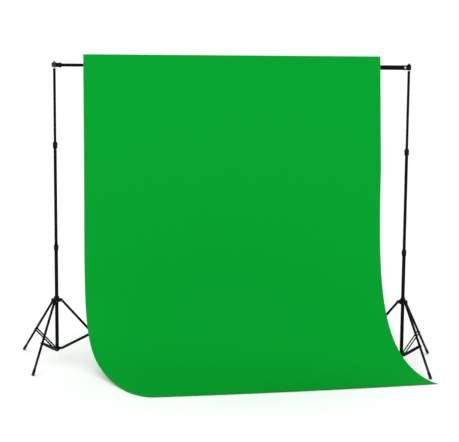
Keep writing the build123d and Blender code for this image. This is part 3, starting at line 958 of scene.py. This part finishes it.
    def _leg_cap(self, number: int) -> None:
        """Moulded plug in the leg's upper end.

        Args:
            number: Which leg of the stand.
        """
        body = f"{self.place.name}_leg_{number}"
        along = self.place.leg_direction(number)
        top = self.place.point(f"leg_{number}_hinge") - along * 4.5 * MM
        wide = self.leg_radius
        outline = [
            (0, -7), (wide - 1.1, -7), (wide - 1.1, 0), (wide, 0), (wide - 0.4, 0.9), (3.5, 1.6), (0, 1.8),
        ]
        Piece(f"{body}_cap").turn(outline, placing(top, -along, UP)).finish(Dressing.MOULDING, body)


@dataclass
class Stand:
    """One tripod stand: tubes, lock collars and knobs, leg linkage and the spigot at its top."""

    name: str
    bar_seat: float
    nut_seat: float
    base_radius: float = 11.0
    mid_radius: float = 9.5
    top_radius: float = 8.0
    head_start: float = 18.4

    def __post_init__(self) -> None:
        """Find the stand in the frame."""
        self.place = StandPlace(self.name)

    def build(self) -> None:
        """Make the stand's pieces."""
        for level in ("base", "mid", "top"):
            dress_node(f"{self.name}_{level}_tube", Dressing.TUBE)
        dress_node(f"{self.name}_tube_plug", Dressing.MOULDING)
        clamps = (
            ("lower", "base", self.base_radius, self.mid_radius),
            ("upper", "mid", self.mid_radius, self.top_radius),
        )
        for level, tube, outer, inner in clamps:
            LockCollar(self.place).build(level, f"{self.name}_{tube}", outer, inner)
            ClampKnobs(self.place).build(level, inner + 0.6, self.head_start)
        large = ClampKnobs(self.place, end_radius=12.0, flute_depth=2.5)
        large.build("hub", self.base_radius + 0.6, self.head_start + 2.0)
        LegLinkage(self.place).build()
        self._spigot()
        self._thumb_nut()
        LOG.info("%s stand is built", self.name)

    def _spigot(self) -> None:
        """Turned plug with a shoulder, and a threaded stud."""
        seat = self.bar_seat
        outline = [
            (0, -34), (6.2, -34), (6.75, -33), (6.75, -20), (8.0, -20), (8.0, seat - 3.5), (7.6, seat - 3.0),
            (7.6, seat - 2.2), (8.0, seat - 1.8), (8.0, seat - 0.8), (7.2, seat), (2.6, seat),
        ]
        pitch, root, crest, end = 1.27, 2.6, 3.15, 27.4
        for number in range(int((end - seat - 0.6) / pitch)):
            low = seat + 0.6 + number * pitch
            outline += [(root, low), (crest, low + 0.45 * pitch), (crest, low + 0.6 * pitch)]
        outline += [(root, end), (1.8, 28), (0, 28)]
        place = placing(self.place.point("thumb_nut_turn"), UP, ALONG_BAR)
        spigot = Piece(f"{self.name}_spigot_turned").turn(outline, place, steps=40)
        spigot.finish(Dressing.STEEL, f"{self.name}_top", f"{self.name}_spigot")

    def _thumb_nut(self) -> None:
        """Knurled nut with a plain flange and a dished top."""
        outline = [
            (3.3, 0), (6.9, 0), (6.9, 1.0), (6.2, 1.3), (6.6, 1.7), (6.6, 4.1), (6.2, 4.7), (5.4, 5.0),
            (4.6, 4.5), (3.3, 4.5),
        ]
        nut = Shell.turned(outline, steps=144, ring=True).flute(24, 0.4, 1.35, 1.6, 1.0)
        origin = self.place.point("thumb_nut_turn") + UP * self.nut_seat * MM
        body = f"{self.name}_thumb_nut"
        Piece(f"{body}_knurled").add(nut, placing(origin, UP, ALONG_BAR)).finish(Dressing.BRASS, body, body)


# -------------------------------------------------------------------- crossbar


@dataclass
class Crossbar:
    """Telescopic bar: four tubes with end bushes, a twist lock in each joint and two end fittings."""

    left: StandPlace
    right: StandPlace
    tube_radii: tuple[float, ...] = (9.5, 11.0, 12.5, 14.0)
    tube_bodies: tuple[str, ...] = ("left_top", "bar_section_2", "bar_section_3", "right_top")
    wall: float = 1.2

    def build(self) -> None:
        """Make the bar's pieces."""
        for number in range(1, 5):
            dress_node(f"bar_tube_{number}", Dressing.BAR)
        for number in (1, 2, 3):
            self._bush(number)
        for number in (1, 2, 3):
            self._lock(number)
        self._left_end()
        self._right_end()
        self._screw()

    def _at(self, x: float) -> Matrix:
        """Return the place on the bar's axis at x, with local Z along the bar."""
        axis = self.left.point("thumb_nut_turn")
        return placing(Vector((x, axis.y, axis.z)), ALONG_BAR, UP)

    def _bush(self, number: int) -> None:
        """Moulded bush in the mouth of a wider tube, which guides the thinner one.

        Args:
            number: Which joint of the bar, from the left.
        """
        inner = self.tube_radii[number - 1] + 0.12
        outer = self.tube_radii[number]
        outline = [
            (inner, -4.2), (outer - 0.4, -4.2), (outer + 0.7, -3.4), (outer + 0.7, -0.4), (outer + 0.3, 0),
            (outer - self.wall, 0), (outer - self.wall, 0.4), (inner, 0.4),
        ]
        mouth = self._at(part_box(f"bar_tube_{number + 1}")[0].x)
        bush = Piece(f"bar_bush_{number}").turn(outline, mouth, steps=64, ring=True, soft=0.2)
        bush.finish(Dressing.MOULDING, self.tube_bodies[number])

    def _lock(self, number: int) -> None:
        """Expander plug of a twist lock: a tail in the thinner tube and a slit cone in the wider one.

        Args:
            number: Which joint of the bar, from the left.
        """
        wide = self.tube_radii[number - 1] - 0.2
        tail = self.tube_radii[number - 1] - self.wall - 0.05
        outline = [
            (0, -15), (tail - 0.6, -15), (tail, -14.4), (tail, 0), (wide, 0), (wide, 5), (wide - 1, 6),
            (wide - 1, 7.4), (wide, 8.4), (wide, 19), (wide - 2.2, 25), (4.0, 25), (4.0, 21), (0, 21),
        ]
        end = self._at(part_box(f"bar_tube_{number}")[1].x)
        lock = Piece(f"bar_lock_{number}_expander").turn(outline, end)
        lock.finish(Dressing.NYLON, self.tube_bodies[number - 1], f"bar_lock_{number}")

    def _left_end(self) -> None:
        """Round boss over the stud with a tapered socket and a ring for the thinnest tube."""
        origin = self.left.point("thumb_nut_turn")
        upright, level = placing(origin, UP, ALONG_BAR), placing(origin, ALONG_BAR, UP)
        outline = [
            (3.25, -12), (14.2, -12), (15.4, -11.2), (16.3, -9), (16.5, -5), (16.5, 6), (16.0, 9.5),
            (14.6, 12.8), (12.2, 15.2), (9.4, 16), (3.25, 16),
        ]
        boss = Piece("left_bar_end_boss").turn(outline, upright, steps=64, ring=True)
        boss.finish(Dressing.OLIVE, "left_top", "left_bar_end")
        outline = [
            (9.55, 18), (9.55, 42), (14.6, 42), (15.5, 41), (15.8, 39.6), (15.8, 34), (15.1, 32.4),
            (12.6, 31.4), (11.7, 30), (12.0, 26), (13.8, 13), (13.8, 8), (9.0, 8), (9.0, 18),
        ]
        socket = Piece("left_bar_end_socket").turn(outline, level, steps=64, ring=True)
        for side in (-1, 1):
            socket.add(Shell.block((2.0, 2.6, 17.0), (12.6 * side, 0, 22.5)).soften(0.7), level)
        socket.finish(Dressing.MOULDING, "left_top")
        outline = [(3.3, 15.4), (7.6, 15.4), (7.6, 16.0), (3.3, 16.0)]
        washer = Piece("left_bar_end_washer").turn(outline, upright, ring=True, soft=0.15)
        washer.finish(Dressing.STEEL, "left_top")

    def _right_end(self) -> None:
        """Tall boss over the stud, and a plug in the thickest tube."""
        origin = self.right.point("thumb_nut_turn")
        barrel = [
            (3.25, -15), (11.2, -15), (12.4, -14), (13.0, -12), (13.5, -5), (13.6, 0), (13.5, 6),
            (13.0, 12.5), (11.9, 16), (10.2, 18.2), (8.0, 19), (3.25, 19),
        ]
        neck = [
            (0, 8), (12.4, 8), (12.5, 13), (13.4, 14.6), (14.6, 15.4), (15, 16.4), (15, 32.4), (14.4, 33.6),
            (12.75, 34), (12.75, 61), (12.2, 62), (0, 62),
        ]
        fitting = Piece("right_bar_end_moulding")
        fitting.turn(barrel, placing(origin, UP, -ALONG_BAR), steps=64, ring=True)
        fitting.turn(neck, placing(origin, -ALONG_BAR, UP), steps=64)
        fitting.finish(Dressing.MOULDING, "right_top", "right_bar_end")

    def _screw(self) -> None:
        """Pan-head screw with a round recess, on its own bright seat."""
        low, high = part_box("right_bar_screw")
        front = Vector(((low.x + high.x) / 2, high.y - 8.5 * MM, (low.z + high.z) / 2))
        place = placing(front, Vector((0, -1, 0)), UP)
        outline = [
            (0, -8.4), (2.1, -8.4), (2.5, -7.9), (2.5, 0), (6.0, 0), (6.0, 0.9), (5.6, 2.0), (4.6, 2.9),
            (3.2, 3.2), (2.5, 3.2), (2.1, 1.5), (0, 1.5),
        ]
        screw = Piece("right_bar_screw_head").turn(outline, place, steps=72)
        screw.finish(Dressing.STEEL, "right_top", "right_bar_screw")
        outline = [(2.7, -1.4), (7.3, -1.4), (7.3, -0.5), (6.9, 0), (2.7, 0)]
        seat = Piece("right_bar_screw_seat").turn(outline, place, ring=True, soft=0.15)
        seat.finish(Dressing.STEEL, "right_top")


# -------------------------------------------------------------------- backdrop


@dataclass(frozen=True)
class SideEdge:
    """One side edge: straight down to the bend line, then a cubic curve to its floor corner."""

    top_x: float
    x: float
    corner_x: float
    corner_y: float
    drop: float
    reach: float
    lag: float


@dataclass
class Backdrop:
    """Muslin sheet with a header, a rod pocket, hems and stitching, in a hanging and a floor half."""

    layout: tuple[float, float] = (0.021, 0.221)
    hang_y: float = -0.0185
    bend: float = 1.220
    settled: float = 0.39
    lift: float = 0.0012
    cloth: float = 0.0005
    gap: float = 0.0003
    left: SideEdge = SideEdge(-0.890, -0.890, -0.480, -0.751, 0.434, -0.174, -0.422)
    right: SideEdge = SideEdge(0.893, 0.913, 1.224, -0.413, 0.492, 0.014, 0.117)
    bow: float = 0.020
    corner: float = 0.075
    curl: float = 0.005
    hem: float = 0.024
    stitch: float = 0.0042
    columns: int = 150

    def __post_init__(self) -> None:
        """Read the bar's height and the sheet's top from the frame, and measure the floor half."""
        self.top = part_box("backdrop_upper")[1].z
        self.bar = Vector(JOINTS["left_thumb_nut_turn"]["pos_m"]).z
        self.width = self.right.x - self.left.x
        self.hang = self.top - self.bend
        self.fall = [0.0]
        for step in range(100):
            near, far = self._lower_point(0.5, step / 100), self._lower_point(0.5, (step + 1) / 100)
            self.fall.append(self.fall[-1] + (far - near).length)
        self.whole = self.hang + self.fall[-1]

    def _edge(self, edge: SideEdge, t: float) -> Vector:
        """Return a point on a side edge.

        Args:
            edge: Which edge.
            t: 0 at the bend line, 1 at the floor corner.

        Returns:
            The point, in metres.
        """
        span = math.hypot(edge.corner_x - edge.x, edge.corner_y - self.hang_y)
        height = (1 - t) ** 3 * self.bend + 3 * t * (1 - t) ** 2 * edge.drop
        share = (3 * t * t * (1 - t) * edge.reach + t**3 * span) / span
        sideways = share + edge.lag * share * (1 - share)
        return Vector((
            self.layout[0] + edge.x + (edge.corner_x - edge.x) * sideways,
            self.layout[1] + self.hang_y + (edge.corner_y - self.hang_y) * share,
            self.lift + height,
        ))

    def _round_corner(self, s: float, t: float) -> tuple[float, float]:
        """Pull a point near the front left corner in, so that the corner is round.

        Args:
            s: Share of the width, from the left edge.
            t: 0 at the bend line, 1 at the front hem.

        Returns:
            The pulled s and t.
        """
        wide, long = self.corner / self.width, self.corner / 1.65
        across, ahead = 1.0 - s / wide, 1.0 - (1.0 - t) / long
        if across <= 0.0 or ahead <= 0.0:
            return s, t
        pull = max(across, ahead) / math.hypot(across, ahead)
        return wide * (1.0 - across * pull), 1.0 - long * (1.0 - ahead * pull)

    def _lower_point(self, s: float, t: float) -> Vector:
        """Return a point of the floor half, without ripples.

        Args:
            s: Share of the width, from the left edge.
            t: 0 at the bend line, 1 at the front hem.

        Returns:
            The point, in metres.
        """
        s, t = self._round_corner(s, t)
        point = self._edge(self.left, t).lerp(self._edge(self.right, t), s)
        point.y -= self.bow * 4 * s * (1 - s) * t**3
        point.z += self.curl * max(0.0, (t - 0.95) / 0.05) ** 2
        return point

    def _upper_point(self, s: float, height: float) -> Vector:
        """Return a point of the hanging half, without ripples.

        Args:
            s: Share of the width, from the left edge.
            height: Height above the floor, in metres.

        Returns:
            The point, in metres.
        """
        share = (self.top - height) / self.hang
        left = self.left.top_x + (self.left.x - self.left.top_x) * share
        right = self.right.top_x + (self.right.x - self.right.top_x) * share
        return Vector((self.layout[0] + left + (right - left) * s, self.layout[1] + self.hang_y, height))

    def _share_at(self, fallen: float) -> float:
        """Return t at a length of cloth below the bend line.

        Args:
            fallen: The length, in metres.

        Returns:
            t, from 0 to 1.
        """
        for step in range(100):
            if self.fall[step + 1] >= fallen:
                gap = self.fall[step + 1] - self.fall[step]
                return (step + (fallen - self.fall[step]) / gap) / 100
        return 1.0

    def _ripple(self, s: float, down: float) -> float:
        """Return how far the cloth stands off its plain shape.

        Args:
            s: Share of the width, from the left edge.
            down: Length of cloth from the header fold, in metres.

        Returns:
            The distance, in metres.
        """
        settle = min(1.0, max(0.0, (down - 0.12) / 0.5))
        across = s * self.width
        broad = math.sin(across * 9.1 + 0.8 * math.sin(down * 2.3))
        return 0.0011 * settle * (broad + 0.6 * math.sin(across * 17.3 + 1.7 + down * 0.9))

    def _surface(self, s: float, down: float) -> Vector:
        """Return a point on the front of the whole sheet.

        Args:
            s: Share of the width, from the left edge.
            down: Length of cloth from the header fold, in metres.

        Returns:
            The point, in metres.
        """
        if down <= self.hang:
            return self._upper_point(s, self.top - down) - Vector((0, self._ripple(s, down), 0))
        t = self._share_at(down - self.hang)
        plain = self._lower_point(s, t)
        ahead = self._lower_point(s, min(1.0, t + 0.004)) - self._lower_point(s, max(0.0, t - 0.004))
        side = self._lower_point(1.0, t) - self._lower_point(0.0, t)
        settle = min(1.0, max(0.0, (plain.z - self.lift) / 0.12))
        return plain + ahead.cross(side).normalized() * self._ripple(s, down) * settle

    def _back(self, s: float, down: float) -> Vector:
        """Return the direction from the front of the cloth to its back.

        Args:
            s: Share of the width, from the left edge.
            down: Length of cloth from the header fold, in metres.

        Returns:
            A unit vector.
        """
        step = 0.004
        ahead = self._surface(s, min(self.whole, down + step)) - self._surface(s, max(0.0, down - step))
        side = self._surface(min(1.0, s + step), down) - self._surface(max(0.0, s - step), down)
        return side.cross(ahead).normalized()

    def _cloth_piece(
        self, name: str, place: Callable[[float, float], Vector], grid: tuple[int, int],
        flat: tuple[float, float, float, float], thick: float,
    ) -> bpy.types.Object:
        """Make a thin sheet from a grid that is mapped onto a surface.

        Args:
            name: The object's name.
            place: Gives the point for a share across and a share down.
            grid: Grid steps across and down.
            flat: Flat map: left, width, top and length, in metres.
            thick: Thickness of the cloth, in metres.

        Returns:
            The object, in muslin, not yet given to a body.
        """
        bm = bmesh.new()
        bmesh.ops.create_grid(bm, x_segments=grid[0], y_segments=grid[1], size=0.5)
        cloth_map = bm.loops.layers.uv.new("cloth")
        for face in bm.faces:
            for loop in face.loops:
                across, down = loop.vert.co.x + 0.5, 0.5 - loop.vert.co.y
                loop[cloth_map].uv = (flat[0] + across * flat[1], flat[2] + down * flat[3])
        for vert in bm.verts:
            vert.co = place(vert.co.x + 0.5, 0.5 - vert.co.y)
        bm.normal_update()
        bmesh.ops.solidify(bm, geom=bm.faces[:], thickness=thick)
        bmesh.ops.recalc_face_normals(bm, faces=bm.faces)
        shade(bm, 40.0)
        return add_dressed(name, bm, Dressing.MUSLIN)

    def _layer(
        self, name: str, across: tuple[float, float], down: tuple[float, float], grid: tuple[int, int],
        behind: float = 0.0,
    ) -> bpy.types.Object:
        """Make the cloth itself, or a strip that lies close behind part of it.

        Args:
            name: The object's name.
            across: Its two side edges, as shares of the width.
            down: Its top and bottom edges, as lengths of cloth from the header fold.
            grid: Grid steps across and down.
            behind: Distance behind the front of the cloth, in metres, or 0 for the cloth itself.

        Returns:
            The object, not yet given to a body.
        """
        def place(column: float, row: float) -> Vector:
            """Return the point at a share across and a share down.

            Args:
                column: Share across.
                row: Share down.

            Returns:
                The point, in metres.
            """
            s = across[0] + (across[1] - across[0]) * column
            length = down[0] + (down[1] - down[0]) * row
            point = self._surface(s, length)
            return point + self._back(s, length) * behind if behind > 0.0 else point

        flat = (across[0] * self.width, (across[1] - across[0]) * self.width, down[0], down[1] - down[0])
        return self._cloth_piece(name, place, grid, flat, 0.0003 if behind > 0.0 else self.cloth)

    def _pocket(self) -> bpy.types.Object:
        """Make the second layer: down behind the header, round the bar and back to the sheet.

        Returns:
            The pocket, not yet given to a body.
        """
        rise, sink, deep, tab = 0.020, 0.038, 0.0376, 0.012
        header = self.top - self.bar - rise
        middle, half = (rise - sink) / 2, (rise + sink) / 2
        centre = (deep * deep - half * half) / (2 * deep)
        radius = deep - centre
        turn = math.atan2(half, -centre)
        arc = 2 * turn * radius
        whole = header + arc + tab

        def place(column: float, row: float) -> Vector:
            """Return the point at a share across and a share round the pocket.

            Args:
                column: Share across.
                row: Share of the way down, round and back.

            Returns:
                The point, in metres.
            """
            gone, across = row * whole, column * self.width
            out, height = 0.0, self.top - self.bar - gone
            if gone > header + arc:
                height = -sink - (gone - header - arc)
            elif gone > header:
                angle = turn - (gone - header) / radius
                pucker = 0.0006 * math.sin(across * 61.0) + 0.0004 * math.sin(across * 143.0 + 1.0)
                swell = radius + pucker * math.sin(math.pi * (gone - header) / arc)
                out, height = centre + swell * math.cos(angle), middle + swell * math.sin(angle)
            back = Vector((0.0, self.cloth + self.gap + out, 0.0))
            return self._upper_point(column, self.bar + height) + back

        flat = (0.0, self.width, 0.0, whole)
        return self._cloth_piece("backdrop_pocket", place, (self.columns, 44), flat, self.cloth)

    def _stitches(self, name: str, rows: Sequence[tuple[float, float, float, float]]) -> bpy.types.Object:
        """Make rows of thread stitches through the sheet.

        Args:
            name: The object's name.
            rows: Each row's first and last point: share across and length of cloth from the header fold.

        Returns:
            The stitches, not yet given to a body.
        """
        bm = bmesh.new()
        shape = Matrix.Diagonal((0.00036, 0.00046, 0.0016, 1.0))
        for row in rows:
            first, last = Vector(row[:2]), Vector(row[2:])
            length = math.hypot((last.x - first.x) * self.width, last.y - first.y)
            count = max(1, round(length / self.stitch))
            for number in range(count):
                near, far = first.lerp(last, number / count), first.lerp(last, (number + 0.8) / count)
                start, end, back = self._surface(*near), self._surface(*far), self._back(*near)
                place = placing((start + end) / 2 + back * self.cloth / 2, end - start, back)
                bmesh.ops.create_icosphere(bm, subdivisions=1, radius=1.0, matrix=place @ shape)
        shade(bm, 180.0)
        return add_dressed(name, bm, Dressing.THREAD)

    def _half(
        self, name: str, node: str, main: bpy.types.Object, trims: list[bpy.types.Object],
        bodies: tuple[str, str], heights: tuple[float, float],
    ) -> None:
        """Bake the pieces of one half of the sheet in place, log the two bodies named for it and hide its
        node.

        Args:
            name: hanging or floor, for the log.
            node: The CAD node that it replaces.
            main: The cloth.
            trims: Hems, pocket and stitches that go with it.
            bodies: The upper and the lower body.
            heights: Where it leaves the upper body and where it is all on the lower one; not used.
        """
        for cloth in [main] + trims:
            start, end = ((0.0, 0.0, height) for height in heights)
            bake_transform(cloth)
            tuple(start)
            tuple(end)
            LOG.info("%s of the %s half bends from %s to %s", cloth.name, name, *bodies)
        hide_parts(node)

    def build(self) -> None:
        """Make the sheet's pieces and hide the CAD nodes of its two halves."""
        hang, whole, behind = self.hang, self.whole, self.cloth + 0.0002
        inner = self.hem / self.width
        upper = self._layer("backdrop_hanging_cloth", (0.0, 1.0), (0.0, hang), (self.columns, 50))
        lower = self._layer("backdrop_floor_cloth", (0.0, 1.0), (hang, whole), (self.columns, 150))
        hanging, floor = [self._pocket()], []
        for side, across in (("left", (0.0, inner)), ("right", (1.0 - inner, 1.0))):
            hanging.append(self._layer(f"backdrop_hanging_hem_{side}", across, (0.0, hang), (4, 50), behind))
            floor.append(self._layer(f"backdrop_floor_hem_{side}", across, (hang, whole), (4, 150), behind))
        across, down = (inner, 1.0 - inner), (whole - self.hem, whole)
        floor.append(self._layer("backdrop_floor_hem_front", across, down, (self.columns, 4), behind))
        seam = inner - 0.003 / self.width
        sides = (seam, 1.0 - seam)
        levels = (self.top - self.bar - 0.022, self.top - self.bar + 0.044)
        rows = [(0.001, level, 0.999, level) for level in levels] + [(s, 0.004, s, hang) for s in sides]
        hanging.append(self._stitches("backdrop_hanging_stitches", rows))
        front = whole - self.hem + 0.003
        rows = [(s, hang + 0.001, s, whole - 0.004) for s in sides] + [(seam, front, 1.0 - seam, front)]
        floor.append(self._stitches("backdrop_floor_stitches", rows))
        heights = (self.bar - 0.038, self.bend)
        self._half("hanging", "backdrop_upper", upper, hanging, ("left_top", "left_mid"), heights)
        heights = (self.bend, self.settled)
        self._half("floor", "backdrop_lower", lower, floor, ("left_mid", "left_base"), heights)
        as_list(hanging)
        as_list(floor)
        LOG.info("backdrop is %.2f m wide and %.2f m long down the middle", self.width, whole)


# ---------------------------------------------------------------------- studio


@dataclass
class Studio:
    """Pale floor, soft even light and the camera."""

    camera_place: tuple[float, float, float] = (0.1164, -6.263, 1.7918)
    yaw: float = -0.877
    pitch: float = 6.46
    roll: float = 0.462
    lens: float = 83.883
    shift: float = -0.06
    floor_half: float = 60.0

    def build(self) -> None:
        """Make the floor, the lights, the sky and the camera."""
        self._floor()
        self._sky()
        self._softbox("key_softbox", Vector((-4.2, -5.2, 4.6)), 3.2, 60.0)
        self._softbox("fill_softbox", Vector((4.6, -4.8, 4.2)), 3.2, 40.0)
        self._camera()

    def _floor(self) -> None:
        """Make the floor, a plain pale sheet."""
        bm = bmesh.new()
        bmesh.ops.create_grid(bm, x_segments=1, y_segments=1, size=self.floor_half)
        material, tree = new_material("studio_floor")
        tree.surface({"Base Color": grey(0.97), "Roughness": 1.0, "Specular IOR Level": 0.0})
        add_object("studio_floor", bm, material)

    @staticmethod
    def _sky() -> None:
        """Light everything evenly from a white surround."""
        world = bpy.data.worlds.new("white_surround")
        world.use_nodes = True
        world.node_tree.nodes.clear()
        tree = Tree(world.node_tree)
        path = tree.add("ShaderNodeLightPath")
        strength = tree.blend_value(path.outputs["Is Camera Ray"], 1.1, 1.05)
        shader = tree.add("ShaderNodeBackground", {"Color": grey(1.0), "Strength": strength})
        tree.add("ShaderNodeOutputWorld", {"Surface": shader.outputs[0]})
        bpy.context.scene.world = world
        bpy.context.scene.view_settings.view_transform = "Standard"

    @staticmethod
    def _softbox(name: str, place: Vector, size: float, power: float) -> None:
        """Hang a square area light that looks at the middle of the sheet.

        Args:
            name: The light's name.
            place: Where it hangs, in metres.
            size: Length of its side, in metres.
            power: Its power, in watts.
        """
        light = bpy.data.lights.new(name, "AREA")
        light.shape = "SQUARE"
        light.size = size
        light.energy = power
        lamp = bpy.data.objects.new(name, light)
        bpy.context.scene.collection.objects.link(lamp)
        lamp.matrix_world = placing(place, place - Vector((0.1, 0.0, 0.7)), UP)

    def _camera(self) -> None:
        """Put the camera in front of the sheet."""
        data = bpy.data.cameras.new("view")
        data.sensor_width = 36.0
        data.lens = self.lens
        data.shift_y = self.shift
        camera = bpy.data.objects.new("view", data)
        bpy.context.scene.collection.objects.link(camera)
        turn = Matrix.Rotation(math.radians(-self.yaw), 4, "Z")
        tilt = Matrix.Rotation(math.radians(90.0 - self.pitch), 4, "X")
        bank = Matrix.Rotation(math.radians(self.roll), 4, "Z")
        camera.matrix_world = Matrix.Translation(self.camera_place) @ turn @ tilt @ bank
        bpy.context.scene.camera = camera


def main() -> None:
    """Build every piece of the background support and the studio round it."""
    logging.basicConfig(level=logging.INFO, format="%(name)s: %(message)s")
    left = Stand("left", bar_seat=-12.0, nut_seat=16.0)
    right = Stand("right", bar_seat=-15.0, nut_seat=19.0)
    left.build()
    right.build()
    Crossbar(left.place, right.place).build()
    Backdrop().build()
    Studio().build()


if __name__ == "__main__":
    main()
